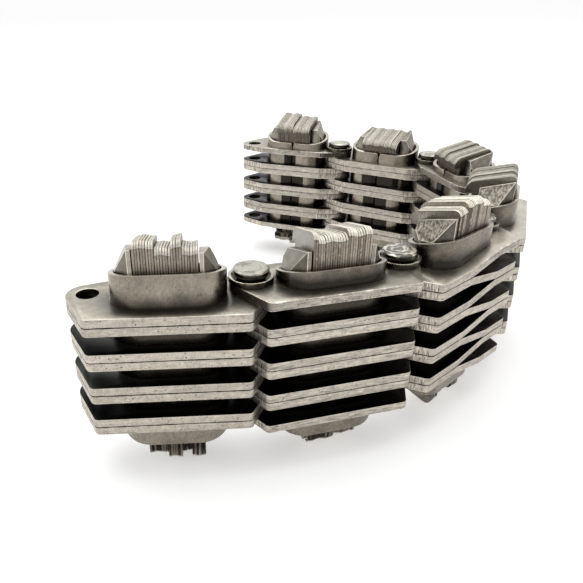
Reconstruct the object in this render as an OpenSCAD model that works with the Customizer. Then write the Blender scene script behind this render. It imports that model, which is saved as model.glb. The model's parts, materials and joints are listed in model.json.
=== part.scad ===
// Slat-type chain for a stepless drive: seven links, curled up at rest.
// Each link has eight side plates, a closed sleeve and a pack of loose slats
// that grip the pulley cones with their sloping ends.

/* [Chain] */
// Distance between two joint axes
pitch = 25; // [24:0.5:30]
// Bend at joint 1 as the chain lies
bend_1 = 11.7; // [0:0.1:45]
// Bend at joint 2
bend_2 = 26; // [0:0.1:45]
// Bend at joint 3
bend_3 = 25.2; // [0:0.1:45]
// Bend at joint 4
bend_4 = 36.8; // [0:0.1:45]
// Bend at joint 5
bend_5 = 44.4; // [0:0.1:45]
// Bend at joint 6
bend_6 = 9.9; // [0:0.1:45]

/* [Side plates] */
// Thickness of one plate
plate_t = 1.42; // [1.2:0.02:1.8]
// Running gap between neighbouring plates
plate_gap = 0.04; // [0.02:0.01:0.1]
// From the joint axes to the straight outer edge
plate_outer = 8.5; // [7.8:0.1:10]
// From the joint axes to the straight inner edge
plate_inner = 4.9; // [4.6:0.1:6]
// Radius of the nose around each joint
nose_r = 3.35; // [3:0.05:3.5]
// Radius of the outer corners
outer_corner_r = 1; // [0.4:0.1:2]
// Radius of the inner corners
inner_corner_r = 1.6; // [0.6:0.1:2.5]
// Distance of the inner corners from the joint axes, along the link
inner_corner_in = 4.2; // [3.5:0.1:6]
// Length over which an offset plate steps to the next layer
joggle_len = 8.6; // [6:0.2:10]
// How far that step lies past the middle of the link
joggle_shift = 1; // [0:0.1:1.5]

/* [Sleeve] */
// Length of the oval sleeve, along the link
sleeve_len = 17.6; // [16:0.1:17.8]
// Width of the sleeve, across the link
sleeve_w = 9.5; // [8.5:0.1:9.6]
// Offset of the sleeve from the joint axes, toward the outer edge
sleeve_off = 1.5; // [1:0.1:2]
// Wall of the sleeve
sleeve_wall = 0.8; // [0.6:0.05:1]
// Height of the sleeve's outer wall above the side plates
sleeve_rise = 3.5; // [3:0.1:4.5]
// Radial gap between the sleeve and the plate windows
sleeve_fit = 0.03; // [0.02:0.01:0.1]
// Width of the butt seam in the sleeve's inner wall
seam_w = 0.35; // [0.2:0.05:0.6]
// Depth of the flare at each end of the seam
seam_flare = 0.9; // [0.4:0.1:1.2]

/* [Slats] */
// Number of slats in one link
slat_n = 24; // [12:1:28]
// Length of the pack, along the link
pack_len = 9.3; // [8:0.1:9.6]
// Smallest gap between two slats
slat_gap = 0.02; // [0.01:0.01:0.05]
// Room that each slat has along the pack on top of that gap
slat_loose = 0.03; // [0:0.01:0.06]
// Gap between the slats and the sleeve's inside
slat_fit = 0.06; // [0.04:0.01:0.15]
// Slope of the slat ends and of the sleeve ends, as the pulley cones
cone_angle = 14; // [10:1:16]
// Height of a slat's outer edge above the sleeve, in mid position
slat_rise = 4; // [3:0.1:4.5]
// Side play of a slat in its sleeve
slat_play = 3.5; // [2.8:0.1:3.6]
// Reach of a slat's hook beyond the sleeve's inner wall
hook_reach = 0.4; // [0.2:0.1:0.8]
// Bevel of a slat's corners
slat_bevel = 0.9; // [0.3:0.05:1.1]
// Most that a link's lowered slats lie below its raised ones
slat_step = 1.1; // [0.4:0.1:1.1]
// How far the slats of a group stand unevenly, in a gentle wave
slat_scatter = 0.24; // [0:0.02:0.3]

/* [End blocks] */
// Height of the end blocks above the sleeve's outer wall, in mid position
block_rise = 1.7; // [1.5:0.1:3]
// How far the end blocks stand above their mid position
block_lift = 1.3; // [0:0.1:1.5]
// Gap between an end block and the slats
block_gap = 0.15; // [0.04:0.01:0.2]
// Gap between an end block and the sleeve
block_fit = 0.04; // [0.02:0.01:0.1]
// Lean of the end block's outer face
block_lean = 28; // [15:1:35]
// Length of the flat on an end block's outer side, next to the slats
block_flat = 0.6; // [0.2:0.1:1]
// Half angle of the block's upright end, seen from the centre of the sleeve's bend
block_nose = 18; // [8:1:25]
// How far an end block stays off the sleeve's inner wall
block_inset = 1.4; // [0.4:0.1:1.6]

/* [Pins] */
// Diameter of the joint pins
pin_d = 3.4; // [3:0.1:3.6]
// Radial clearance of a pin in the plates
pin_clear = 0.05; // [0.03:0.01:0.1]
// Gap between a washer's edge and the sleeves beside it
washer_gap = 0.28; // [0.1:0.02:0.6]
// Inset of the riveted head within the washer's edge
head_inset = 0.7; // [0.4:0.05:1]
// Thickness of the riveted head
head_t = 0.95; // [0.6:0.05:1.2]
// Rounding of the head's edge
head_round = 0.25; // [0.1:0.05:0.4]
// Depth of the groove under the head
neck_depth = 0.65; // [0.4:0.05:0.8]
// Height of the groove under the head
neck_h = 0.65; // [0.5:0.05:0.9]
// Thickness of the washer's base
washer_t = 0.45; // [0.3:0.05:0.6]
// Height of the washer with its raised lip
washer_h = 0.9; // [0.7:0.05:1]
// Width of that lip
lip_w = 0.5; // [0.3:0.05:0.6]
// Gap between the washer and its neighbours
washer_fit = 0.03; // [0.02:0.01:0.08]

/* [Hidden] */
$fn = 48;

// The plates lie in sixteen layers, counted from the top.
layer_n = 16;
layer_h = plate_t + plate_gap;
stack_top = layer_n / 2 * layer_h - plate_gap / 2;
// Layers of the narrow (inner) plates and of the wide (outer) plates, in mating order.
inner_layers = [1, 2, 5, 6, 9, 10, 13, 14];
outer_layers = [0, 3, 4, 7, 8, 11, 12, 15];
// Form of each link at its two ends: "i" inner, "o" outer; link 3 is the offset link.
lead_form = ["i", "o", "i", "i", "o", "i", "o"];
trail_form = ["i", "o", "o", "i", "o", "i", "o"];
// Which slats stand raised (r) or lowered (l) along each pack.
slat_rows = [
    "rrrrlllrrlll", "rllllllrrrrr", "lllrrrrrrlll", "llllrrrrllrr",
    "llllllrrrrrr", "llrrrrrrrrrr", "llllllrrrrrr",
];
// Where each link's raised slats stand, as a share of half their play, and how far its
// lowered slats lie below them, as a share of the largest step.
raised_at = [0.5, 0.98, 0.95, 0.4, -0.07, -0.5, 0.5];
step_share = [1, 0.5, 0.8, 0.2, 0.22, 0.25, 0.55];
// How far each sleeve sits above the middle of its stack, with its blocks and slats.
sleeve_lift = [0.6, -0.5, 0.1, 0.1, 0, 0, 0.4];
// How far each leading block stands higher than the trailing one.
lead_lift = [0.7, 0, 0.5, 0.5, 0, 0, 0];

// Share of a corner's radius that the straight sides touch
side_touch = 0.995;
// How far a cutting body reaches past what it cuts
reach = 1;

bends = [0, bend_1, bend_2, bend_3, bend_4, bend_5, bend_6];
function heading(i) = i == 1 ? 0 : heading(i - 1) + bends[i - 1];
function joint_at(i) =
    i == 0 ? [0, 0] : joint_at(i - 1) + pitch * [cos(heading(i)), sin(heading(i))];
function layer_z(k) = ((layer_n - 1) / 2 - k) * layer_h;

// Sleeve section
mid_u = pitch / 2;
sleeve_mid = -sleeve_off;
sleeve_r = sleeve_w / 2;
sleeve_straight = sleeve_len - sleeve_w;
inside_r = sleeve_r - sleeve_wall;
outer_wall_v = sleeve_mid - sleeve_r;
inner_wall_v = sleeve_mid + sleeve_r;
rim_z = stack_top + sleeve_rise;
function cone_z(v, z0) = z0 - (v - outer_wall_v) * tan(cone_angle);

// Slat section
pack_end_off = max(0, (pack_len - sleeve_straight) / 2);
slat_half_w = sqrt(inside_r * inside_r - pack_end_off * pack_end_off) - slat_fit;
slat_outer_v = sleeve_mid - slat_half_w;
slat_neck_v = sleeve_mid + slat_half_w;
slat_hook_v = inner_wall_v + hook_reach;
shoulder_z = cone_z(inner_wall_v - sleeve_wall, rim_z) + slat_play / 2;
slat_top_z = rim_z + slat_rise;
slat_pitch = pack_len / slat_n;

// Pin and washer
joint_room = norm([(pitch - sleeve_straight) / 2, sleeve_off]) - sleeve_r;
washer_r = joint_room - washer_gap;
head_r = washer_r - head_inset;
neck_r = head_r - neck_depth;
hole_r = pin_d / 2 + pin_clear;
washer_z = stack_top + washer_fit;
neck_z = washer_z + washer_t + washer_fit;
head_z = neck_z + neck_h;
head_top = head_z + head_t;

module at_link(i) {
    translate([joint_at(i - 1).x, joint_at(i - 1).y, 0])
        rotate([0, 0, heading(i)])
            children();
}

// Place of a link's sleeve, which sits a little high or low in its plates
module at_sleeve(i) {
    at_link(i) translate([0, 0, sleeve_lift[i - 1]]) children();
}

module at_joint(i) {
    translate([joint_at(i).x, joint_at(i).y, 0])
        children();
}

module both_ends() {
    children();
    mirror([0, 0, 1]) children();
}

// Outward direction of the common tangent of two circles [x, y, r], going anticlockwise
function tangent_dir(a, b) =
    let (way = [b.x - a.x, b.y - a.y], l = norm(way), d = way / l, s = (a.z - b.z) / l)
    d * s + [d.y, -d.x] * sqrt(1 - s * s);

// Convex outline around a ring of circles [x, y, r], given anticlockwise. The straight
// sides touch circles a shade smaller, so that each side crosses its arcs cleanly.
module belt(c) {
    n = len(c);
    polygon([
        for (k = [0:n - 1])
            let (a = c[k], b = c[(k + 1) % n], t = tangent_dir(a, b) * side_touch)
            each [[a.x, a.y] + a.z * t, [b.x, b.y] + b.z * t]
    ]);
    for (q = c)
        translate([q.x, q.y]) circle(r = q.z);
}

// Oval of the sleeve, grown by a margin
module oval(r) {
    for (side = [-1, 1])
        translate([mid_u + side * sleeve_straight / 2, sleeve_mid]) circle(r = r);
    translate([mid_u - sleeve_straight / 2, sleeve_mid - r]) square([sleeve_straight, 2 * r]);
}

// A drawing in the across-the-link and height plane, carried along the link
module along_link(from, to) {
    translate([from, 0, 0]) rotate([90, 0, 90]) linear_extrude(to - from) children();
}

// A drawing in the along-the-link and height plane, carried across the link
module across_link(from, to) {
    translate([0, to, 0]) rotate([90, 0, 0]) linear_extrude(to - from) children();
}

// Block between the two sloping end planes that start at height z0 on the outer wall
module cone_cut(z0) {
    v0 = outer_wall_v - reach;
    v1 = slat_hook_v + reach;
    along_link(-reach, pitch + reach)
        polygon([
            [v0, -cone_z(v0, z0)], [v1, -cone_z(v1, z0)], [v1, cone_z(v1, z0)], [v0, cone_z(v0, z0)]
        ]);
}

module plate_outline() {
    difference() {
        belt([
            [0, 0, nose_r],
            [outer_corner_r, outer_corner_r - plate_outer, outer_corner_r],
            [pitch - outer_corner_r, outer_corner_r - plate_outer, outer_corner_r],
            [pitch, 0, nose_r],
            [pitch - inner_corner_in, plate_inner - inner_corner_r, inner_corner_r],
            [inner_corner_in, plate_inner - inner_corner_r, inner_corner_r],
        ]);
        circle(r = hole_r);
        translate([pitch, 0]) circle(r = hole_r);
        oval(sleeve_r + sleeve_fit);
    }
}

// Edge-on drawing of a plate that starts in one layer and ends in another
module step_profile(z_lead, z_trail) {
    u0 = mid_u + joggle_shift - joggle_len / 2;
    u1 = mid_u + joggle_shift + joggle_len / 2;
    h = plate_t / 2;
    polygon([
        [-pitch, z_lead - h], [u0, z_lead - h], [u1, z_trail - h], [2 * pitch, z_trail - h],
        [2 * pitch, z_trail + h], [u1, z_trail + h], [u0, z_lead + h], [-pitch, z_lead + h]
    ]);
}

function layers(form) = form == "i" ? inner_layers : outer_layers;

module plates(i) {
    lead = layers(lead_form[i - 1]);
    trail = layers(trail_form[i - 1]);
    color([0.62, 0.60, 0.56]) at_link(i)
        for (k = [0:len(lead) - 1])
            if (lead[k] == trail[k])
                translate([0, 0, layer_z(lead[k]) - plate_t / 2])
                    linear_extrude(plate_t) plate_outline();
            else
                intersection() {
                    translate([0, 0, -2 * stack_top]) linear_extrude(4 * stack_top) plate_outline();
                    across_link(-2 * plate_outer, 2 * plate_outer)
                        step_profile(layer_z(lead[k]), layer_z(trail[k]));
                }
}

module sleeve(i) {
    seam_rim_z = cone_z(inner_wall_v, rim_z);
    wide = seam_w + 1.2 * seam_flare;
    color([0.50, 0.48, 0.44]) at_sleeve(i)
        intersection() {
            cone_cut(rim_z);
            difference() {
                translate([0, 0, -2 * rim_z]) linear_extrude(4 * rim_z) oval(sleeve_r);
                translate([0, 0, -3 * rim_z]) linear_extrude(6 * rim_z) oval(inside_r);
                across_link(sleeve_mid, inner_wall_v + reach)
                    translate([mid_u - seam_w / 2, -2 * rim_z]) square([seam_w, 4 * rim_z]);
                both_ends()
                    across_link(sleeve_mid, inner_wall_v + reach)
                        polygon([
                            [mid_u - seam_w / 2, seam_rim_z - seam_flare],
                            [mid_u + seam_w / 2, seam_rim_z - seam_flare],
                            [mid_u + wide / 2, seam_rim_z + seam_flare],
                            [mid_u - wide / 2, seam_rim_z + seam_flare]
                        ]);
            }
        }
}

function slat_edge_z(v) = slat_top_z - (v - slat_outer_v) * tan(cone_angle);

module slat_profile() {
    upper = [
        [slat_neck_v, shoulder_z],
        [slat_hook_v, shoulder_z],
        [slat_hook_v, slat_edge_z(slat_hook_v) - slat_bevel],
        [slat_hook_v - slat_bevel, slat_edge_z(slat_hook_v - slat_bevel)],
        [slat_outer_v + slat_bevel, slat_edge_z(slat_outer_v + slat_bevel)],
        [slat_outer_v, slat_top_z - slat_bevel],
    ];
    lower = [for (k = [len(upper) - 1:-1:0]) [upper[k].x, -upper[k].y]];
    polygon(concat(upper, lower));
}

function is_raised(i, k) =
    let (row = slat_rows[i - 1]) row[floor((k + 0.5) / slat_n * len(row))] == "r";
function slat_shift(i, k) =
    raised_at[i - 1] * (slat_play / 2 - slat_gap)
    - (is_raised(i, k) ? 0 : slat_step * step_share[i - 1])
    - slat_scatter * (1 + sin(50 * k + 140 * i)) / 2;
function slat_u(i, k) =
    mid_u - pack_len / 2 + k * slat_pitch + slat_gap / 2
    + slat_loose * (1 + sin(137 * k + 50 * i)) / 2;

module slats(i, raised) {
    t = slat_pitch - slat_gap - slat_loose;
    color([0.72, 0.70, 0.66]) at_sleeve(i)
        for (k = [0:slat_n - 1])
            if (is_raised(i, k) == raised)
                translate([slat_u(i, k), 0, slat_shift(i, k)])
                    along_link(0, t) slat_profile();
}

// Radius of an end block around the centre of the sleeve's bend
block_r = inside_r - block_fit;
// Point on that arc, at an angle from the link's own direction
function block_corner(turn) =
    [sleeve_straight / 2 + block_r * cos(turn), sleeve_mid + block_r * sin(turn)];

// End block of a link; side is -1 at its leading end and 1 at its trailing end
module end_block(i, side) {
    face = pack_len / 2 + block_gap;
    flat_corner = block_corner(-acos((face + block_flat - sleeve_straight / 2) / block_r));
    inner_corner = block_corner(asin((inside_r - block_inset) / block_r));
    outline = [
        [face, flat_corner.y], flat_corner, block_corner(-block_nose), block_corner(block_nose),
        inner_corner, [face, inner_corner.y],
    ];
    wall_u = block_corner(block_nose).x;
    lean_z = cone_z(sleeve_mid, rim_z) - sleeve_wall / 2 - block_lift;
    top_z = rim_z + block_rise;
    lean_u = wall_u - (top_z - lean_z) * tan(block_lean);
    lift = block_lift + (side < 0 ? lead_lift[i - 1] : 0);
    color([0.56, 0.54, 0.50]) at_sleeve(i) translate([0, 0, lift])
        intersection() {
            cone_cut(top_z);
            translate([mid_u, 0, -2 * top_z]) linear_extrude(4 * top_z)
                scale([side, 1]) polygon(outline);
            across_link(-plate_outer, plate_outer)
                translate([mid_u, 0]) scale([side, 1])
                    polygon([
                        [0, -top_z], [lean_u, -top_z], [wall_u, -lean_z], [wall_u + reach, -lean_z],
                        [wall_u + reach, lean_z], [wall_u, lean_z], [lean_u, top_z], [0, top_z]
                    ]);
        }
}

module pin(j) {
    half = [
        [pin_d / 2, 0], [pin_d / 2, neck_z], [neck_r, neck_z], [neck_r, head_z],
        [head_r, head_z], [head_r, head_top - head_round], [head_r - head_round, head_top],
    ];
    color([0.80, 0.79, 0.77]) at_joint(j)
        rotate_extrude()
            polygon(concat(
                [[0, -head_top]],
                [for (k = [len(half) - 1:-1:1]) [half[k].x, -half[k].y]],
                [for (k = [1:len(half) - 1]) half[k]],
                [[0, head_top]]
            ));
}

module washers(j) {
    hole = pin_d / 2 + washer_fit;
    color([0.42, 0.40, 0.36]) at_joint(j) both_ends()
        translate([0, 0, washer_z])
            rotate_extrude()
                polygon([
                    [hole, 0], [washer_r, 0], [washer_r, washer_h], [washer_r - lip_w, washer_h],
                    [washer_r - lip_w, washer_t], [hole, washer_t]
                ]);
}

plates(1);  // link_1_plates
sleeve(1);  // link_1_sleeve
slats(1, true);  // link_1_slats_raised
slats(1, false);  // link_1_slats_lowered
end_block(1, -1);  // link_1_lead_block
end_block(1, 1);  // link_1_trail_block
plates(2);  // link_2_plates
sleeve(2);  // link_2_sleeve
slats(2, true);  // link_2_slats_raised
slats(2, false);  // link_2_slats_lowered
end_block(2, -1);  // link_2_lead_block
end_block(2, 1);  // link_2_trail_block
plates(3);  // link_3_plates
sleeve(3);  // link_3_sleeve
slats(3, true);  // link_3_slats_raised
slats(3, false);  // link_3_slats_lowered
end_block(3, -1);  // link_3_lead_block
end_block(3, 1);  // link_3_trail_block
plates(4);  // link_4_plates
sleeve(4);  // link_4_sleeve
slats(4, true);  // link_4_slats_raised
slats(4, false);  // link_4_slats_lowered
end_block(4, -1);  // link_4_lead_block
end_block(4, 1);  // link_4_trail_block
plates(5);  // link_5_plates
sleeve(5);  // link_5_sleeve
slats(5, true);  // link_5_slats_raised
slats(5, false);  // link_5_slats_lowered
end_block(5, -1);  // link_5_lead_block
end_block(5, 1);  // link_5_trail_block
plates(6);  // link_6_plates
sleeve(6);  // link_6_sleeve
slats(6, true);  // link_6_slats_raised
slats(6, false);  // link_6_slats_lowered
end_block(6, -1);  // link_6_lead_block
end_block(6, 1);  // link_6_trail_block
plates(7);  // link_7_plates
sleeve(7);  // link_7_sleeve
slats(7, true);  // link_7_slats_raised
slats(7, false);  // link_7_slats_lowered
end_block(7, -1);  // link_7_lead_block
end_block(7, 1);  // link_7_trail_block
pin(1);  // pin_1
pin(2);  // pin_2
pin(3);  // pin_3
pin(4);  // pin_4
pin(5);  // pin_5
pin(6);  // pin_6
washers(1);  // pin_1_washers
washers(2);  // pin_2_washers
washers(3);  // pin_3_washers
washers(4);  // pin_4_washers
washers(5);  // pin_5_washers
washers(6);  // pin_6_washers
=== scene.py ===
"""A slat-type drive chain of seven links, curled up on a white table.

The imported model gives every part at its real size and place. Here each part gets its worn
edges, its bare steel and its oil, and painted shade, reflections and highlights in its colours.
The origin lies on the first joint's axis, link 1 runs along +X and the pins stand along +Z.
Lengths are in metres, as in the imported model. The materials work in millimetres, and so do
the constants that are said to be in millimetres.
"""

import json
import math
import random

import bmesh
import bpy
from mathutils import Matrix, Vector, noise


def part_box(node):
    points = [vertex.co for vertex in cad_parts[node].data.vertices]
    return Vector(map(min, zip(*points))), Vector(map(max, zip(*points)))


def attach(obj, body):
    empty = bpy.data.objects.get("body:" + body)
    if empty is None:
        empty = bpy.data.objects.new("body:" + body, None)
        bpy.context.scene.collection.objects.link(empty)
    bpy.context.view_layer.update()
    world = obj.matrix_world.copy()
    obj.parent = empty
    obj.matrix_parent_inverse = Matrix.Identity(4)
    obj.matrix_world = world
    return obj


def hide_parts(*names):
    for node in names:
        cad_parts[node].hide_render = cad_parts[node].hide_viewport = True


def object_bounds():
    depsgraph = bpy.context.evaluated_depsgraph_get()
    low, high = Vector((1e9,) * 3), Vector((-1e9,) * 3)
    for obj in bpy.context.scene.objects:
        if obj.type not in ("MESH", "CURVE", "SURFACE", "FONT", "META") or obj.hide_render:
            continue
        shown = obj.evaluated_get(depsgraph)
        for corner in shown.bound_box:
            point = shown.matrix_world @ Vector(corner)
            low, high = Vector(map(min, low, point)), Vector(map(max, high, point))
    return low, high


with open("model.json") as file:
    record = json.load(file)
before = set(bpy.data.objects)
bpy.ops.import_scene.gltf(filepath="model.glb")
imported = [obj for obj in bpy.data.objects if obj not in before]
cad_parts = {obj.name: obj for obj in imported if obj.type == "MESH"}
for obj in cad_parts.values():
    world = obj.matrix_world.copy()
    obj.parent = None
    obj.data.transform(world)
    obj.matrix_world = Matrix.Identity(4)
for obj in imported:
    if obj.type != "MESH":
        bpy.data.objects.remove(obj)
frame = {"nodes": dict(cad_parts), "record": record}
cad_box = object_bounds()
body_of = {n: b for b, nodes in frame["record"]["behaviour"]["bodies"].items() for n in nodes}

MM = 0.001
LINKS = range(1, 8)
PINS = range(1, 7)
# The link whose plates step down one layer, so that more of its sleeve shows
STEPPED_LINK = 3

# Camera, as the photograph was taken; its lens is in millimetres
CAMERA_PLACE = Vector((18.18, -83.2, 50.92)) * MM
CAMERA_HEADING = math.radians(2.99)
CAMERA_DIP = math.radians(27.14)
CAMERA_ROLL = math.radians(-0.67)
CAMERA_LENS = 37.125
CAMERA_SHIFT = (0.0969, 0.0146)
CAMERA_CLIP = (0.005, 20)

# Table, sky and lamp; the sky is dimmer as a source of light than where it is seen
TABLE_SIZE = 60.0
TABLE_WHITE = (0.86, 0.86, 0.86, 1)
TABLE_LIFT = 0.29
SKY_WHITE = (1, 1, 1, 1)
SKY_LIGHT = 0.80
SKY_SEEN = 1.0
LAMP_OFFSET = Vector((-0.08, 0.1, 0.7))
LAMP_SIZE = 0.9
LAMP_POWER = 4.0

# Worn edges of each kind of part: width and number of steps
EDGES = {
    "plates": (0.12 * MM, 2),
    "sleeve": (0.10 * MM, 2),
    "slats": (0.03 * MM, 1),
    "block": (0.09 * MM, 2),
    "pin": (0.05 * MM, 2),
    "washers": (0.06 * MM, 2),
}
# Two end blocks are worn rounder than the others
ROUND_BLOCKS = {"link_1_trail_block": (0.16 * MM, 3), "link_2_lead_block": (0.36 * MM, 4)}
# Rounded corners of the slats' ends, and how sharp a corner is before it is rounded
SLAT_CORNER = (0.5 * MM, 3)
LEAST_CORNER = math.radians(20)
MOST_CORNER = math.radians(70)
# Edges sharper than this are worn, and stay sharp when the rest is shaded smooth
SHARP_ANGLE = math.radians(32)
# Triangles closer to one plane than this are joined to one face
FLAT_ANGLE = math.radians(0.6)
# Points closer than this are one point
MERGE_GAP = 0.0015 * MM
# Places of solids are compared to a thousandth of a millimetre
PLACE_DIGITS = 6

# How level a face lies, from 0 for an upright face to 1 for a level one
CUT_SLOPE = 0.6
TIP_SLOPE = 0.3
LEVEL_SLOPE = 0.5
FACET_SLOPE = 0.2
LEAN_SLOPES = (0.3, 0.6)
# How squarely a slat's flank faces along its link, and how far a block's facet is turned
FLANK_TURN = 0.8
FACET_TURN = 0.3
# Cut faces nearer to a joint axis than this are the plate's nose, or its bore
NOSE_REACH = 6.5 * MM
BORE_REACH = 2.0 * MM
# How far below the top of a link a level face may lie and still be its open outer face
OUTER_DEPTH = 0.1 * MM
# Width of the raised lip of a washer
LIP_WIDTH = 0.56 * MM
# How much a pin's side counts as its bright head
PIN_SIDE_SHARE = 0.12

# Two end blocks have broken leaning ends. A leaning end is larger than the worn edges beside it
BROKEN_BLOCKS = ("link_3_lead_block", "link_4_lead_block")
LEAST_LEAN = 2.0 * MM * MM
# Size of a chip, its greatest depth, and how often at most an end is cut to reach that size
CHIP = 0.26 * MM
CHIP_DEPTH = 0.20 * MM
CHIP_ROUNDS = 8
# A break has broad waves and fine ridges: how quickly each changes, per millimetre, and the
# share of the depth that is cut everywhere, by the waves and by the ridges
WAVES = 0.9
RIDGES = Vector((3.2, 3.2, 0.7))
WAVE_LIFT = 0.2
BREAK_SHARES = (0.25, 0.8, 0.7)
# How light single end blocks are; the others lie between
BLOCK_SHADES = {
    "link_1_lead_block": 0.97, "link_1_trail_block": 1.25, "link_3_lead_block": 0.25,
    "link_4_lead_block": 0.35, "link_5_lead_block": 0.2,
}
OTHER_SHADES = (0.25, 0.7)

# Numbers stored on each link's plates, sleeve and slats, from link 1 to link 7
PLATE_MARKS = {
    # How far painted shade and a painted reflection of the sleeve darken the outer faces round it
    "foot_darkening": (0.58, 0.14, 0.05, 0.1, 0.2, 0.2, 0.2),
    # How light the outer faces are: partly their own tone, partly painted light
    "light": (1.0, 0.87, 1.48, 1.52, 1.12, 1.02, 1.02),
    # How strongly the long cut edges are drawn
    "drawn": (0.9, 2.3, 1.9, 1.3, 1.2, 1.2, 1.2),
    # How dark the seam between two touching plates is
    "seam": (0.92, 0.5, 0.75, 0.6, 0.5, 0.5, 0.5),
}
SLEEVE_MARKS = {
    # How light the strip is
    "light": (1.08, 0.92, 0.90, 0.90, 1.05, 1.08, 1.08),
    # How far the outside darkens toward its foot, partly oil that has crept up and partly painted
    # shade
    "foot_darkening": (0.95, 1.25, 1.35, 0.8, 0.6, 0.6, 0.6),
}
SLAT_MARKS = {
    # How unevenly the slats are worn
    "wear": (0.1, 0.65, 1.0, 0.5, 0.15, 0.0, 0.0),
    # How bright their ends are
    "polish": (0.76, 1.05, 1.42, 0.70, 0.60, 0.64, 0.62),
}
# How strongly each pin's head is marked by its riveting, and so how strong its painted highlights
# are
HEAD_MARKS = (0.26, 1.0, 0.6, 0.6, 0.5, 0.5)

# In millimetres from here to the colours. Two numbers are where a pattern begins and where it
# is full, or the other way round where it fades. Height of a pair of touching plates, and of
# the gap between two pairs
ROW_HEIGHT = 2.92
# From below to above the middle of the chain
UPPER_HALF = (-1.0, 1.0)
# Heights from which a plate is a single outer plate, and from which it is an outer face
OUTER_PLATE = (10.1, 10.4)
OUTER_FACE = (11.0, 11.3)
# How far a plate is darkened: from its sleeve by painted shade and a painted reflection, from a
# pin by oil, and over its cut sides by oil from any pin and by painted shade from the first
SLEEVE_SHADE_REACH = (0.0, 3.7)
PIN_OIL_REACH = (2.9, 4.3)
SIDE_OIL_REACH = (5.4, 8.0)
FIRST_PIN_SHADE_REACH = (7.4, 9.4)
# Half the width of the dark seam between two touching plates
SEAM_REACH = (0.05, 0.15)
# Dust has settled in one gap of link 1: its middle, its reach, and its reach up and down
DUST_SPOT = (2.0, -6.5, -1.5)
DUST_REACH = (4.5, 9.5)
DUST_HEIGHT = (2.0, 4.0)
# Across a link, from its sleeve's outer side to its inner side
OUTER_SIDE = (-3.0, 0.5)
# Where the darkening of a sleeve toward its foot begins above the plates, partly oil and partly
# painted shade, how far it climbs at least, and how much further where the sleeve is darkened
# more
CREEP_START = 0.2
CREEP_LEAST = 0.9
CREEP_DARKENED = 2.6
# From between the plates to above them
SHELF_EDGE = (-0.3, 0.0)
# How far painted shade and reflection spread on a sleeve's round ends from a pin
SLEEVE_END_REACH = (4.2, 7.4)
# Half the least width of a window of painted shade and reflection in a sleeve's inner side, and
# how much wider some are
WINDOW_REACH = (0.9, 1.1)
WINDOW_SPREAD = 4.2
# Where a sleeve's round ends begin, from its middle, and its wall's inside, from its outline
SLEEVE_ENDS = (6.4, 6.8)
SLEEVE_WALL = (-0.70, -0.45)
# How far up a slat's side is darker at its foot, partly oil and partly painted shade
SLAT_FOOT = (0.1, 1.7)
# From a pin's head to its rim, which gets painted shade
HEAD_RIM = (2.2, 3.0)
# The swirl on a pin's head: how tight it is, how far it is warped, how it shifts between pins
SWIRL_RATE = 5.2
SWIRL_WARP = 18
SWIRL_SHIFT = 9

# Where noise that swings about zero makes patches
DUST_PATCHES = (0.02, 0.16)
PIT_PATCHES = (-0.18, 0.0)
RIM_PATCHES = (-0.20, 0.06)
GLINT_PATCHES = (0.0, 0.14)
SPECKS = (0.12, 0.20)
PALE_BREAKS = (-0.10, 0.12)
HEAD_SHINE = (-0.13, 0.10)
GOLD_PATCHES = (-0.16, 0.02)
# How far from its middle a cell of noise is a pit
PIT_SIZE = (0.10, 0.19)
# Slats below the chain with less painted shade, slats with painted shade in the gap beside them,
# and stained slats, by their tone from 0 to 1
PALE_BELOW = (0.35, 0.65)
GAP_SHADED = (0.35, 0.85)
STAINED = (0.74, 0.82)
# Sets the painted dark windows of one link apart from another's
WINDOW_SEED = 31
COAT_ROUGHNESS = 0.12

# Bare steel, as linear colours
PLATE_FACE = (0.404, 0.380, 0.316, 1)
# Painted shade between the rows of plates; PLATE_DUSTY is dust in that shade
PLATE_PAINTED_SHADE = (0.010, 0.009, 0.009, 1)
PLATE_DUSTY = (0.064, 0.070, 0.058, 1)
PLATE_CUT = (0.440, 0.404, 0.345, 1)
# Lighter worn edges, partly wear and partly a painted highlight
RIM_WEAR_AND_HIGHLIGHT = (0.600, 0.560, 0.480, 1)
# Painted glints on the edges of the outer plates
PLATE_GLINT = (0.940, 0.920, 0.850, 1)
PIT_DARK = (0.070, 0.056, 0.042, 1)
# Oil near the pins, and painted shade in the bores and further out from the first pin
OIL_AND_SHADE_DARK = (0.022, 0.018, 0.012, 1)
SLEEVE_STRIP = (0.238, 0.212, 0.170, 1)
# Oil and painted shade on the sleeve
SLEEVE_OIL_AND_SHADE = (0.016, 0.013, 0.009, 1)
SLAT_FACE = (0.262, 0.228, 0.184, 1)
SLAT_FLANK = (0.190, 0.176, 0.148, 1)
SLAT_BRIGHT = (0.620, 0.588, 0.505, 1)
SLAT_DARK = (0.050, 0.040, 0.030, 1)
BLOCK_FACE = (0.230, 0.212, 0.176, 1)
BLOCK_BROKEN = (0.340, 0.312, 0.262, 1)
# Worn block edges, partly wear and partly a painted highlight
BLOCK_EDGE = (0.680, 0.640, 0.550, 1)
PIN_BRIGHT = (0.700, 0.680, 0.580, 1)
PIN_SIDE = (0.016, 0.015, 0.012, 1)
WASHER_OILED = (0.040, 0.034, 0.023, 1)
WASHER_LIP = (0.450, 0.420, 0.340, 1)
# A golden worn line on the washer's edge, painted as a highlight
WASHER_GOLD = (0.580, 0.520, 0.380, 1)


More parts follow.
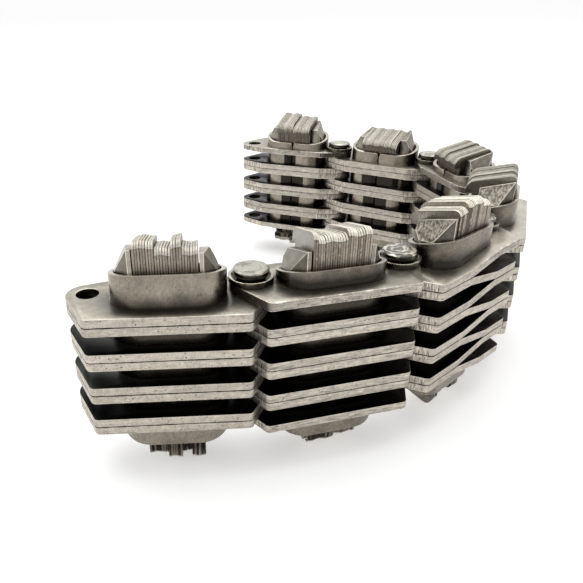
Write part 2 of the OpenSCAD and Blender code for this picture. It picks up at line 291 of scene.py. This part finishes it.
class Wire:
    """One shader socket. Arithmetic on it adds Math nodes."""

    def __init__(self, finish, socket):
        self.finish = finish
        self.socket = socket

    def maths(self, operation, *values):
        sockets = dict(enumerate(values))
        return self.finish.node("ShaderNodeMath", {"operation": operation}, sockets)

    def __add__(self, other):
        return self.maths("ADD", self, other)

    def __sub__(self, other):
        return self.maths("SUBTRACT", self, other)

    def __rsub__(self, other):
        return self.maths("SUBTRACT", other, self)

    def __mul__(self, other):
        return self.maths("MULTIPLY", self, other)

    def __truediv__(self, other):
        return self.maths("DIVIDE", self, other)

    def __pow__(self, other):
        return self.maths("POWER", self, other)

    def __abs__(self):
        return self.maths("ABSOLUTE", self)

    __radd__ = __add__
    __rmul__ = __mul__


class Finish:
    """The node tree of one material or of the sky, built up from named patterns."""

    def __init__(self, owner):
        owner.use_nodes = True
        self.owner = owner
        self.tree = owner.node_tree
        self.tree.nodes.clear()

    def node(self, kind, settings=None, sockets=None, out=0):
        """Adds a node: its settings first, then the values or links of its sockets."""
        made = self.tree.nodes.new(kind)
        for name, value in (settings or {}).items():
            setattr(made, name, value)
        for name, value in (sockets or {}).items():
            if isinstance(value, Wire):
                self.tree.links.new(value.socket, made.inputs[name])
            else:
                made.inputs[name].default_value = value
        return Wire(self, made.outputs[out]) if made.outputs else None

    def place(self, stretch=(1, 1, 1)):
        """The point on the part in millimetres, with each direction stretched."""
        here = self.node("ShaderNodeTexCoord", out="Object")
        scale = tuple(s / MM for s in stretch)
        return self.node("ShaderNodeMapping", {}, {"Vector": here, "Scale": scale})

    def marked(self, name):
        """A number stored on the part's mesh."""
        return self.node("ShaderNodeAttribute", {"attribute_name": name}, out="Fac")

    def distance(self, first, second):
        settings = {"operation": "DISTANCE"}
        return self.node("ShaderNodeVectorMath", settings, {0: first, 1: second}, out="Value")

    def nearest(self, where, axes):
        """How far a point lies from the nearest of several upright axes, in millimetres."""
        settings = {"operation": "MULTIPLY"}
        flat = self.node("ShaderNodeVectorMath", settings, {0: where, 1: (1, 1, 0)})
        gaps = [self.distance(flat, (axis.x / MM, axis.y / MM, 0)) for axis in axes]
        least = gaps[0]
        for gap in gaps[1:]:
            least = least.maths("MINIMUM", least, gap)
        return least

    def largest(self, first, *others):
        """The largest of several numbers, of which the first is a wire."""
        most = first
        for other in others:
            most = most.maths("MAXIMUM", most, other)
        return most

    def from_core(self, oval):
        """How far a point lies from the middle line of its link's sleeve, in millimetres."""
        past = self.largest(abs(self.marked("u") - oval["u"]) - oval["half"], 0.0)
        aside = self.marked("v") - oval["v"]
        return (past * past + aside * aside) ** 0.5

    def height(self, where):
        return self.node("ShaderNodeSeparateXYZ", {}, {"Vector": where}, out="Z")

    def noise(self, where, scale, detail=3, rough=0.55):
        """Noise that swings about zero, seldom past a quarter; its scale is per millimetre."""
        sockets = {"Vector": where, "Scale": scale, "Detail": detail, "Roughness": rough}
        return self.node("ShaderNodeTexNoise", {}, sockets) - 0.5

    def cells(self, where, scale):
        return self.node("ShaderNodeTexVoronoi", {}, {"Vector": where, "Scale": scale})

    def dice(self, value):
        """One random number for each different value."""
        return self.node("ShaderNodeTexWhiteNoise", {"noise_dimensions": "1D"}, {"W": value})

    def step(self, value, low, high):
        """Runs from 0 at low to 1 at high, with soft ends."""
        settings = {"interpolation_type": "SMOOTHSTEP"}
        sockets = {"Value": value, "From Min": low, "From Max": high}
        return self.node("ShaderNodeMapRange", settings, sockets)

    def fade(self, value, low, high):
        """Runs from 1 at low to 0 at high, with soft ends."""
        return 1 - self.step(value, low, high)

    def between(self, amount, low, high):
        """A number that runs from low to high as the amount runs from 0 to 1."""
        return amount * (high - low) + low

    def blend(self, amount, first, second, full=None, mode="MIX"):
        """Mixes two colours by an amount; full is the second's share where the amount is 1."""
        amount = amount if full is None else amount * full
        settings = {"data_type": "RGBA", "blend_type": mode}
        return self.node("ShaderNodeMix", settings, {0: amount, 6: first, 7: second}, out=2)

    def shade(self, colour, amount):
        """A colour made lighter or darker by a factor."""
        grey = self.node("ShaderNodeCombineColor", {}, {0: amount, 1: amount, 2: amount})
        return self.blend(1.0, colour, grey, mode="MULTIPLY")

    def bump(self, height, depth_mm):
        sockets = {"Height": height, "Distance": depth_mm * MM, "Strength": 1.0}
        return self.node("ShaderNodeBump", {}, sockets)

    def seen(self):
        """One where the camera sees a surface, straight or in a mirror or glass."""
        path = "ShaderNodeLightPath"
        camera = self.node(path, out="Is Camera Ray")
        mirror = self.node(path, out="Is Glossy Ray")
        glass = self.node(path, out="Is Transmission Ray")
        return self.largest(camera, mirror, glass)

    def metal(self, colour, roughness, normal, coat=None, metallic=1.0):
        sockets = {
            "Base Color": colour,
            "Metallic": metallic,
            "Roughness": roughness,
            "Normal": normal,
            "Coat Roughness": COAT_ROUGHNESS,
        }
        if coat is not None:
            sockets["Coat Weight"] = coat
        shader = self.node("ShaderNodeBsdfPrincipled", {}, sockets)
        self.node("ShaderNodeOutputMaterial", {}, {"Surface": shader})
        return self.owner


def plate_steel(axes, oval):
    """Stamped plate: satin faces, paler cut edges with draw lines and pits, painted shade inside,
    oil near the pins.
    """
    f = Finish(bpy.data.materials.new("plate_steel"))
    here = f.place()
    near_pin, height = f.nearest(here, axes), f.height(here)
    cut, rim, tone = f.marked("cut"), f.marked("rim"), f.marked("tone") - 0.5
    nose, inside = f.marked("nose"), f.marked("inside")
    cloud = f.noise(here, scale=0.22, detail=4)
    mottle = f.noise(here, scale=1.1, detail=4, rough=0.6)
    grain = f.noise(here, scale=7.0, detail=2)
    outer = f.step(height, *OUTER_PLATE)

    # The flat faces: satin outside, painted shade between the rows with some dust, painted shade
    # and reflection round the sleeve, oil round the pins
    # Painted shade and a painted reflection of the sleeve darken the faces round its foot
    foot = f.fade(f.from_core(oval) - oval["radius"] + cloud * 1.5, *SLEEVE_SHADE_REACH)
    level = f.marked("light") + cloud * 0.9 + mottle * 0.7 + grain * 0.6 + tone * 0.1
    bare = f.shade(PLATE_FACE, level * (1 - foot * f.marked("foot_darkening")))
    settled = f.fade(f.distance(here, DUST_SPOT) + cloud * 6, *DUST_REACH)
    settled = settled * f.fade(abs(height - DUST_SPOT[2]), *DUST_HEIGHT)
    dust = f.largest(settled, f.step(cloud, *DUST_PATCHES) * 0.2)
    dark_share = f.fade(near_pin + cloud * 4, *PIN_OIL_REACH)
    # Painted shade between the rows, lighter where dust lies
    inner = f.blend(dust, PLATE_PAINTED_SHADE, PLATE_DUSTY)
    face = f.blend(dark_share, f.blend(inside, bare, inner), OIL_AND_SHADE_DARK, full=0.75)

    # The cut sides: lines across the noses and along the straight parts, pits and pale edges
    across = f.noise(f.place((1, 1, 0.14)), scale=5.0, rough=0.65)
    along = f.noise(f.place((0.10, 0.10, 1)), scale=4.2, rough=0.65)
    lines = across * nose * 4.0 + along * (1 - nose) * f.marked("drawn")
    spots = f.cells(f.place((0.7, 0.7, 1)), scale=1.5) + grain * 0.4
    pits = f.fade(spots, *PIT_SIZE) * f.step(cloud + mottle, *PIT_PATCHES)
    side_level = 0.98 + lines + mottle * 0.75 + grain * 1.2 + tone * 0.16 - outer * 0.24
    side = f.blend(pits, f.shade(PLATE_CUT, side_level), PIT_DARK, full=0.8)
    # Patches of the cut sides' rims, lighter with wear and a painted highlight
    worn_and_highlit = f.blend(rim * f.step(cloud + mottle, *RIM_PATCHES), side, RIM_WEAR_AND_HIGHLIGHT, full=0.85)

    # On the cut sides: painted shade in the bores, oil in the seams and on the outer plates near
    # the pins, and painted shade further out from the first pin
    row = height / ROW_HEIGHT
    from_seam = abs(row - row.maths("ROUND", row)) * ROW_HEIGHT
    seam = f.fade(from_seam + cloud * 0.15 + mottle * 0.08, *SEAM_REACH)
    shut = seam * f.fade(abs(height), *OUTER_FACE) * f.marked("seam")
    # Painted shade over the cut sides further out from the first pin
    first_pin_shade = f.fade(f.nearest(here, axes[:1]) + cloud * 2, *FIRST_PIN_SHADE_REACH)
    creep_and_shade = f.largest(first_pin_shade, f.fade(near_pin + cloud * 4, *SIDE_OIL_REACH)) * outer * 0.85
    darkened = f.largest(inside, creep_and_shade, shut)

    # Both together, with worn edges lighter by wear and a painted highlight, and painted glints
    # on the outer plates
    whole = f.blend(cut, face, f.blend(darkened, worn_and_highlit, OIL_AND_SHADE_DARK))
    arris = rim * (1 - inside)
    edged = f.blend(arris * (1 - cut), whole, RIM_WEAR_AND_HIGHLIGHT, full=0.6)
    # Painted glints along the outer plates' edges
    glint = arris * outer * f.step(cloud + mottle, *GLINT_PATCHES)
    colour = f.blend(glint, edged, PLATE_GLINT, full=0.85)
    roughness = f.between(cut, 0.34, 0.48) + cloud * 0.2
    relief = f.bump(grain * 0.3 + cut * (lines * 0.4 - pits * 0.9), depth_mm=0.035)
    return f.metal(colour, roughness, relief)


def sleeve_steel(axes, oval):
    """Rolled strip: satin and specked, darker round its foot with oil and painted shade, and with
    painted shade and reflection between the plates and inside.
    """
    f = Finish(bpy.data.materials.new("sleeve_steel"))
    here = f.place()
    u, z, foot_darkening = f.marked("u"), f.height(here), f.marked("foot_darkening")
    cloud = f.noise(here, scale=0.3, detail=4)
    mottle = f.noise(here, scale=1.6, rough=0.6)
    grain = f.noise(f.place((1, 1, 0.4)), scale=6.0)
    specks = f.step(f.noise(here, scale=3.6, detail=2, rough=0.5), *SPECKS)
    bare = f.shade(SLEEVE_STRIP, f.marked("light") + cloud + grain * 0.9 + mottle * 0.6)
    # Worn edges lighter with wear and a painted highlight
    worn_and_highlit = f.blend(f.marked("rim"), bare, RIM_WEAR_AND_HIGHLIGHT, full=0.5)
    spotted = f.blend(specks, worn_and_highlit, PIT_DARK, full=0.5)

    # Above the plates the outer side darkens toward its foot, partly oil that has crept up and
    # partly painted shade; painted shade and reflection darken both round ends near the pins
    above = abs(z) - f.marked("shelf")
    upper = f.step(z, *UPPER_HALF)
    outer = f.fade(f.marked("v") - oval["v"], *OUTER_SIDE)
    creep_and_shade = f.fade(above + cloud * 1.6, CREEP_START, foot_darkening * CREEP_DARKENED + CREEP_LEAST)
    foot = creep_and_shade * outer * upper * (foot_darkening * 0.6 + 0.38)
    ends = f.fade(f.nearest(here, axes) + cloud * 3, *SLEEVE_END_REACH) * upper * 0.82

    # Between the plates painted shade covers the outer side; on the inner side painted shade and
    # reflection fill a window per gap and the round ends
    row = z.maths("FLOOR", z / ROW_HEIGHT + 0.5)
    chance = f.dice(row + foot_darkening * WINDOW_SEED)
    off_middle = abs(u - oval["u"] + chance * 2 - 1)
    window = f.fade(off_middle - chance * WINDOW_SPREAD, *WINDOW_REACH)
    far = f.step(abs(u - oval["u"]), *SLEEVE_ENDS)
    sunk = f.between(outer, f.largest(window, far), 0.88)
    dark_share = f.between(f.fade(above, *SHELF_EDGE), f.largest(foot, ends), sunk)

    # Painted shade covers the inside of the sleeve too; only the lips of both ends are bare,
    # lighter with wear and a painted highlight
    within = f.fade(f.from_core(oval) - oval["radius"], *SLEEVE_WALL) * 0.9
    darkened = f.blend(f.largest(dark_share, within), spotted, SLEEVE_OIL_AND_SHADE)
    colour = f.blend(f.marked("lip") * (0.75 + cloud), darkened, RIM_WEAR_AND_HIGHLIGHT)
    roughness = 0.27 + cloud * 0.16 + grain * 0.05
    relief = f.bump(grain * 0.4 - specks * 0.5, depth_mm=0.02)
    return f.metal(colour, roughness, relief, coat=dark_share * 0.25)


def slat_steel():
    """Hardened slats: each with its own tone, bright at the ends, with painted shade in some gaps
    and below the chain.
    """
    f = Finish(bpy.data.materials.new("slat_steel"))
    here = f.place()
    z, tone, tip = f.height(here), f.marked("tone"), f.marked("tip")
    wear, outermost = f.marked("wear"), f.marked("outermost")
    grain = f.noise(here, scale=4.0)
    mottle = f.noise(here, scale=1.1, detail=4, rough=0.6)
    lines = f.noise(f.place((1, 1, 0.12)), scale=8.0, detail=2)
    specks = f.noise(f.place((1, 1, 0.5)), scale=6.5, rough=0.7)

    # The sides are darker at their foot, partly oil and partly painted shade, and below the chain
    # painted shade darkens the slats, some much less than others
    foot = f.fade(abs(z) - f.marked("shelf"), *SLAT_FOOT)
    # Painted shade below the chain
    painted_shade_below = f.fade(z, *UPPER_HALF) * (0.86 - f.step(tone, *PALE_BELOW) * 0.66)
    uneven = ((tone - 0.5) * 0.8 + lines * 1.4 + specks * 2.0) * (0.4 + wear * 0.8)
    level = 1.0 + wear * (0.18 - outermost * 0.25) + uneven + mottle * 0.7
    bare = f.blend(outermost, SLAT_FACE, SLAT_FLANK)
    body = f.shade(bare, level * (1 - foot * 0.5) * (1 - painted_shade_below))

    # The ends are polished; painted shade darkens the gap beside some slats, and a dark stain
    # lies on others
    blotches = mottle * (0.5 + wear * 0.5) + grain * 0.8
    ends = f.shade(SLAT_BRIGHT, f.marked("polish") + tone * 0.20 + blotches)
    # Painted shade in the gap beside some slats
    gap_shade = f.marked("rim") * (1 - tip) * f.step(tone + mottle * 2, *GAP_SHADED)
    gap_shade = gap_shade * (0.35 + wear * 0.6) * 0.9
    stain = f.step(tone + mottle * 0.6, *STAINED) * wear * (1 - outermost)
    dark = f.largest(gap_shade, stain * (0.92 - tip * 0.6))
    colour = f.blend(dark, f.blend(tip, body, ends), SLAT_DARK)
    roughness = f.between(tip, 0.34, 0.60) + grain * 0.14
    relief = f.bump(grain * 0.4 + lines * 0.4, depth_mm=0.02)
    return f.metal(colour, roughness, relief, metallic=1 - tip * wear * 0.6)


def block_steel():
    """End blocks: sheared bar, dull where it was rolled, pale where it broke, with worn edges
    lightened by a painted highlight and painted shade on turned facets.
    """
    f = Finish(bpy.data.materials.new("block_steel"))
    here = f.place()
    broken = f.marked("broken")
    cloud = f.noise(here, scale=0.7)
    grain = f.noise(here, scale=4.5, detail=4, rough=0.65)
    streak = f.noise(f.place((1, 1, 0.22)), scale=3.2, rough=0.6)
    pale = f.step(streak + cloud * 0.4 + grain * 0.15, *PALE_BREAKS) * broken
    mixed = f.blend(pale, BLOCK_FACE, BLOCK_BROKEN)
    uneven = grain * 1.3 + cloud * 1.2 + broken * streak * 2.2
    # Facets turned aside get painted shade
    level = (0.70 + f.marked("shade") * 0.8 + uneven) * (1 - f.marked("facet") * 0.5)
    # Worn edges lighter with wear and a painted highlight
    worn_and_highlit = f.blend(f.marked("rim") * (0.8 + cloud), f.shade(mixed, level), BLOCK_EDGE)
    roughness = 0.35 + broken * 0.12 + grain * 0.16
    return f.metal(worn_and_highlit, roughness, f.bump(grain * 0.7 + streak * 0.6, depth_mm=0.04))


def pin_steel(axes):
    """Riveted pins: bright heads with riveting marks painted as a swirl of highlights and painted
    shade at the rim, black and oily below.
    """
    f = Finish(bpy.data.materials.new("pin_steel"))
    here = f.place()
    marks, reach = f.marked("marks"), f.nearest(here, axes)
    warp = f.noise(here, scale=0.5, detail=2)
    broad = f.noise(here, scale=0.38, detail=2)
    grain = f.noise(here, scale=4.5)
    turn = reach * SWIRL_RATE + warp * SWIRL_WARP + marks * SWIRL_SHIFT
    arcs = turn.maths("SINE", turn)
    # The riveting marks show as painted highlights, pale arcs and patches on a darker head
    shine = f.step(broad + arcs * (0.02 + marks * 0.13) + grain * 0.1, *HEAD_SHINE)
    level = f.between(shine, 0.50 - marks * 0.26, 0.66 + marks * 0.46) + grain * 0.3
    # Painted shade on the outer rim of the head
    rim_shade = f.step(reach, *HEAD_RIM) * 0.3
    colour = f.blend(f.marked("top"), PIN_SIDE, f.shade(PIN_BRIGHT, level * (1 - rim_shade)))
    relief = f.bump(arcs * 0.25 * marks + warp * 1.2 + grain * 0.2, depth_mm=0.05)
    return f.metal(colour, 0.22 + grain * 0.10, relief)


def washer_steel():
    """Dished washers, black with oil, with a pale lip and a thin golden worn line along its edge,
    painted as a highlight.
    """
    f = Finish(bpy.data.materials.new("washer_steel"))
    here = f.place()
    edge = f.marked("edge")
    cloud = f.noise(here, scale=0.45)
    grain = f.noise(here, scale=5.0)
    darkened = f.shade(WASHER_OILED, 0.9 + cloud * 5 + grain)
    pale = f.shade(WASHER_LIP, 0.85 + cloud * 3 + grain)
    lip = f.blend(edge * f.marked("top"), darkened, pale)
    # A golden line along the washer's edge, worn and painted as a highlight
    worn_and_highlit = edge * f.marked("rim") * f.step(cloud + grain * 0.3, *GOLD_PATCHES)
    colour = f.blend(worn_and_highlit, lip, WASHER_GOLD)
    return f.metal(colour, 0.20 + grain * 0.14, f.bump(grain, depth_mm=0.015), coat=0.4)


def islands(bm):
    """The separate solids of a mesh, each as a list of faces, in the order of their places."""
    waiting = set(bm.faces)
    found = []
    while waiting:
        start = waiting.pop()
        group, unseen = [start], [start]
        while unseen:
            face = unseen.pop()
            for edge in face.edges:
                for other in edge.link_faces:
                    if other in waiting:
                        waiting.discard(other)
                        group.append(other)
                        unseen.append(other)
        found.append(group)
    found.sort(key=lambda faces: tuple(round(c, PLACE_DIGITS) for c in middle_of(faces)))
    return found


def middle_of(faces):
    """The mean of the faces' middles, with exact sums, so that their order doesn't matter."""
    middles = [face.calc_center_median() for face in faces]
    return [math.fsum(middle[way] for middle in middles) / len(middles) for way in range(3)]


def slope(face):
    """How level a face lies: 0 if it is upright, 1 if it is level."""
    return abs(face.normal.z)


def is_level(face):
    return slope(face) > LEVEL_SLOPE


def merged_copy(node):
    """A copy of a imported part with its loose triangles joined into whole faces."""
    bm = bmesh.new()
    bm.from_mesh(frame["nodes"][node].data)
    bmesh.ops.remove_doubles(bm, verts=bm.verts, dist=MERGE_GAP)
    bmesh.ops.dissolve_limit(bm, angle_limit=FLAT_ANGLE, verts=bm.verts, edges=bm.edges)
    return bm


def bevel(bm, edges, width, steps):
    return bmesh.ops.bevel(
        bm, geom=edges, offset=width, offset_type="OFFSET", segments=steps, profile=0.5,
        affect="EDGES", material=-1, clamp_overlap=True, loop_slide=True,
    )["faces"]


def wear_edges(bm, kind, node=None):
    """Bevels the sharp edges and marks them as rim."""
    width, steps = ROUND_BLOCKS.get(node, EDGES[kind])
    sharp = [e for e in bm.edges if e.is_manifold and e.calc_face_angle() > SHARP_ANGLE]
    rim = bm.faces.layers.float.new("rim")
    for face in bevel(bm, sharp, width, steps):
        face[rim] = 1.0


def round_corners(bm):
    """Rounds the corners of the slats' ends, which run along the pack."""
    corners = []
    for edge in bm.edges:
        if not edge.is_manifold:
            continue
        at_tip = any(slope(face) > TIP_SLOPE for face in edge.link_faces)
        if at_tip and LEAST_CORNER < edge.calc_face_angle() < MOST_CORNER:
            corners.append(edge)
    bevel(bm, corners, *SLAT_CORNER)


def mark_faces(bm, name, rule):
    """Stores one number for each face, worked out by a rule; yes is 1 and no is 0."""
    layer = bm.faces.layers.float.new(name)
    for face in bm.faces:
        face[layer] = float(rule(face))
    return layer


def mark_all(bm, name, value):
    """Stores the same number on every face."""
    mark_faces(bm, name, lambda face: value)


def mark_link(bm, marks, link):
    """Stores one link's numbers on every face."""
    for name, values in marks.items():
        mark_all(bm, name, values[link - 1])


def mark_tones(bm, node):
    """Gives each separate solid a shade of its own."""
    dice = random.Random(node)
    layer = bm.faces.layers.float.new("tone")
    for group in islands(bm):
        shade = dice.random()
        for face in group:
            face[layer] = shade


def break_faces(bm, broken):
    """Cuts the marked faces small and sinks them unevenly, inside their own outline."""
    for _ in range(CHIP_ROUNDS):
        beside = [e for e in bm.edges if any(face[broken] for face in e.link_faces)]
        wide = [e for e in beside if e.calc_length() > CHIP]
        if not wide:
            break
        bmesh.ops.subdivide_edges(bm, edges=wide, cuts=1, use_grid_fill=True)
        marked = [face for face in bm.faces if face[broken]]
        # The shorter diagonal never cuts off a sliver along a divided edge
        bmesh.ops.triangulate(bm, faces=marked, quad_method="SHORT_EDGE")
    bm.normal_update()
    everywhere, by_waves, by_ridges = BREAK_SHARES
    sunk = {}
    for vert in bm.verts:
        if all(face[broken] for face in vert.link_faces):
            spot = vert.co / MM
            wave = max(0.0, noise.noise(spot * WAVES) + WAVE_LIFT)
            ridge = abs(noise.noise(spot * RIDGES))
            share = everywhere + by_waves * wave + by_ridges * ridge
            sunk[vert] = vert.normal * CHIP_DEPTH * min(1.0, share)
    for vert, way in sunk.items():
        vert.co -= way


def finished(bm, node, material):
    """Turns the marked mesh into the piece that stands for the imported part."""
    mesh = bpy.data.meshes.new(node + "_steel")
    bm.to_mesh(mesh)
    bm.free()
    mesh.materials.append(material)
    mesh.shade_smooth()
    mesh.set_sharp_from_angle(angle=SHARP_ANGLE)
    piece = bpy.data.objects.new(node + "_steel", mesh)
    bpy.context.scene.collection.objects.link(piece)
    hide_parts(node)
    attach(piece, body_of[node])


def joint_places():
    """The joint axes from the open lead end to the open trail end, seen along the pins."""
    boxes = [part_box(f"pin_{pin}") for pin in PINS]
    lead, trail = (Vector(mount["pos_m"]).xy for mount in frame["record"]["mounts"])
    return [lead] + [((low + high) / 2).xy for low, high in boxes] + [trail]


joints = joint_places()


def directions(link):
    """Unit vectors along and across a link, seen along the pins."""
    along = (joints[link] - joints[link - 1]).normalized()
    return along, Vector((-along.y, along.x))


def sleeve_oval():
    """The sleeve's outline in its own link's directions, in millimetres; link 1 runs along +X."""
    low, high = (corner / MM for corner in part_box("link_1_sleeve"))
    size, middle = high - low, (high + low) / 2
    return {"u": middle.x, "v": middle.y, "half": (size.x - size.y) / 2, "radius": size.y / 2}


def mark_place(bm, link):
    """Stores where each point lies along and across its own link, in millimetres."""
    along, across = directions(link)
    for name, way in (("u", along), ("v", across)):
        layer = bm.verts.layers.float.new(name)
        for vert in bm.verts:
            vert[layer] = (vert.co.xy - joints[link - 1]).dot(way) / MM


def make_plates(material):
    open_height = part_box("link_1_plates")[1].z - OUTER_DEPTH

    def near_joint(face, reach):
        middle = face.calc_center_median().xy
        return any((middle - joint).length < reach for joint in joints)

    def is_cut(face):
        return slope(face) < CUT_SLOPE

    def is_nose(face):
        return near_joint(face, NOSE_REACH)

    def is_inside(face):
        """Tells bores and the faces between the rows from the chain's open outer faces."""
        if is_cut(face):
            return near_joint(face, BORE_REACH)
        z = face.calc_center_median().z
        return z * face.normal.z <= 0 or abs(z) <= open_height

    for link in LINKS:
        node = f"link_{link}_plates"
        bm = merged_copy(node)
        wear_edges(bm, "plates")
        mark_faces(bm, "cut", is_cut)
        mark_faces(bm, "nose", is_nose)
        mark_faces(bm, "inside", is_inside)
        mark_link(bm, PLATE_MARKS, link)
        mark_tones(bm, node)
        mark_place(bm, link)
        finished(bm, node, material)


def make_sleeves(material):
    for link in LINKS:
        node = f"link_{link}_sleeve"
        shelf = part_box(f"link_{link}_plates")[1].z / MM
        if link == STEPPED_LINK:
            shelf -= ROW_HEIGHT / 2
        bm = merged_copy(node)
        wear_edges(bm, "sleeve")
        mark_all(bm, "shelf", shelf)
        mark_link(bm, SLEEVE_MARKS, link)
        mark_faces(bm, "lip", is_level)
        mark_place(bm, link)
        finished(bm, node, material)


def make_slats(material):
    for link in LINKS:
        along = directions(link)[0]
        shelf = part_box(f"link_{link}_sleeve")[1].z / MM
        for row in ("raised", "lowered"):
            node = f"link_{link}_slats_{row}"
            bm = merged_copy(node)
            round_corners(bm)
            wear_edges(bm, "slats")
            mark_faces(bm, "tip", lambda face: slope(face) > TIP_SLOPE)
            mark_faces(bm, "outermost", lambda face: abs(face.normal.xy.dot(along)) > FLANK_TURN)
            mark_all(bm, "shelf", shelf)
            mark_link(bm, SLAT_MARKS, link)
            mark_tones(bm, node)
            finished(bm, node, material)


def make_blocks(material):
    dice = random.Random("blocks")
    for link in LINKS:
        along, across = directions(link)

        def is_facet(face):
            turns = abs(face.normal.xy.dot(along)), abs(face.normal.xy.dot(across))
            return min(turns) > FACET_TURN and slope(face) < FACET_SLOPE

        for side in ("lead", "trail"):
            node = f"link_{link}_{side}_block"
            shade = BLOCK_SHADES.get(node, dice.uniform(*OTHER_SHADES))
            bm = merged_copy(node)
            wear_edges(bm, "block", node)
            bmesh.ops.dissolve_degenerate(bm, dist=MERGE_GAP, edges=bm.edges)
            mark_faces(bm, "facet", is_facet)
            mark_all(bm, "shade", shade)
            broken = mark_faces(bm, "broken", lambda face: is_broken(face, node))
            break_faces(bm, broken)
            finished(bm, node, material)


def is_broken(face, node):
    """Tells a broken block's leaning end from its other faces and from its worn edges."""
    leaning = LEAN_SLOPES[0] < slope(face) < LEAN_SLOPES[1] and face.calc_area() > LEAST_LEAN
    return leaning and node in BROKEN_BLOCKS


def make_pins(material):
    for pin, marks in zip(PINS, HEAD_MARKS):
        node = f"pin_{pin}"
        bm = merged_copy(node)
        wear_edges(bm, "pin")
        mark_faces(bm, "top", lambda face: 1.0 if is_level(face) else PIN_SIDE_SHARE)
        mark_all(bm, "marks", marks)
        finished(bm, node, material)


def make_washers(material):
    for pin in PINS:
        node = f"pin_{pin}_washers"
        low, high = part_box(node)
        axis, rim_reach = (low + high) / 2, (high.x - low.x) / 2 - LIP_WIDTH

        def is_edge(face):
            reach = min((vert.co - axis).xy.length for vert in face.verts)
            outward = (face.calc_center_median() - axis).z * face.normal.z >= 0
            return reach > rim_reach and outward

        bm = merged_copy(node)
        wear_edges(bm, "washers")
        mark_faces(bm, "edge", is_edge)
        mark_faces(bm, "top", is_level)
        finished(bm, node, material)


def make_camera():
    data = bpy.data.cameras.new("camera")
    data.lens = CAMERA_LENS
    data.shift_x, data.shift_y = CAMERA_SHIFT
    data.clip_start, data.clip_end = CAMERA_CLIP
    camera = bpy.data.objects.new("camera", data)
    turn = Matrix.Rotation(-CAMERA_HEADING, 4, "Z")
    turn = turn @ Matrix.Rotation(math.radians(90) - CAMERA_DIP, 4, "X")
    turn = turn @ Matrix.Rotation(CAMERA_ROLL, 4, "Z")
    camera.matrix_world = Matrix.Translation(CAMERA_PLACE) @ turn
    bpy.context.scene.collection.objects.link(camera)
    bpy.context.scene.camera = camera


def make_table():
    """A wide white table top, lifted to pure white where the camera or a mirror sees it."""
    f = Finish(bpy.data.materials.new("table_white"))
    paper = f.node("ShaderNodeBsdfDiffuse", {}, {"Color": TABLE_WHITE})
    glow = f.node("ShaderNodeEmission", {}, {"Strength": f.seen() * TABLE_LIFT})
    both = f.node("ShaderNodeAddShader", {}, {0: paper, 1: glow})
    f.node("ShaderNodeOutputMaterial", {}, {"Surface": both})

    bm = bmesh.new()
    bmesh.ops.create_grid(bm, x_segments=1, y_segments=1, size=TABLE_SIZE / 2)
    bmesh.ops.translate(bm, verts=bm.verts, vec=(0, 0, cad_box[0].z))
    mesh = bpy.data.meshes.new("table")
    bm.to_mesh(mesh)
    bm.free()
    mesh.materials.append(f.owner)
    table = bpy.data.objects.new("table", mesh)
    bpy.context.scene.collection.objects.link(table)


def make_sky():
    """A light tent: white all round where it is seen, dimmer as the source of soft light."""
    world = bpy.data.worlds.new("tent")
    bpy.context.scene.world = world
    sky = Finish(world)
    strength = sky.between(sky.seen(), SKY_LIGHT, SKY_SEEN)
    light = sky.node("ShaderNodeBackground", {}, {"Color": SKY_WHITE, "Strength": strength})
    sky.node("ShaderNodeOutputWorld", {}, {"Surface": light})


def make_lamp():
    """A broad soft lamp above the chain, turned to its middle."""
    data = bpy.data.lights.new("overhead", "AREA")
    data.shape = "SQUARE"
    data.size = LAMP_SIZE
    data.energy = LAMP_POWER
    lamp = bpy.data.objects.new("overhead", data)
    middle = (cad_box[0] + cad_box[1]) / 2
    place, aim = middle + LAMP_OFFSET, (-LAMP_OFFSET).to_track_quat("-Z", "Y")
    lamp.matrix_world = Matrix.Translation(place) @ aim.to_matrix().to_4x4()
    bpy.context.scene.collection.objects.link(lamp)


make_camera()
make_table()
make_sky()
make_lamp()
bpy.context.scene.view_settings.view_transform = "Standard"

pin_axes, oval = joints[1:-1], sleeve_oval()
make_plates(plate_steel(pin_axes, oval))
make_sleeves(sleeve_steel(pin_axes, oval))
make_slats(slat_steel())
make_blocks(block_steel())
make_pins(pin_steel(pin_axes))
make_washers(washer_steel())
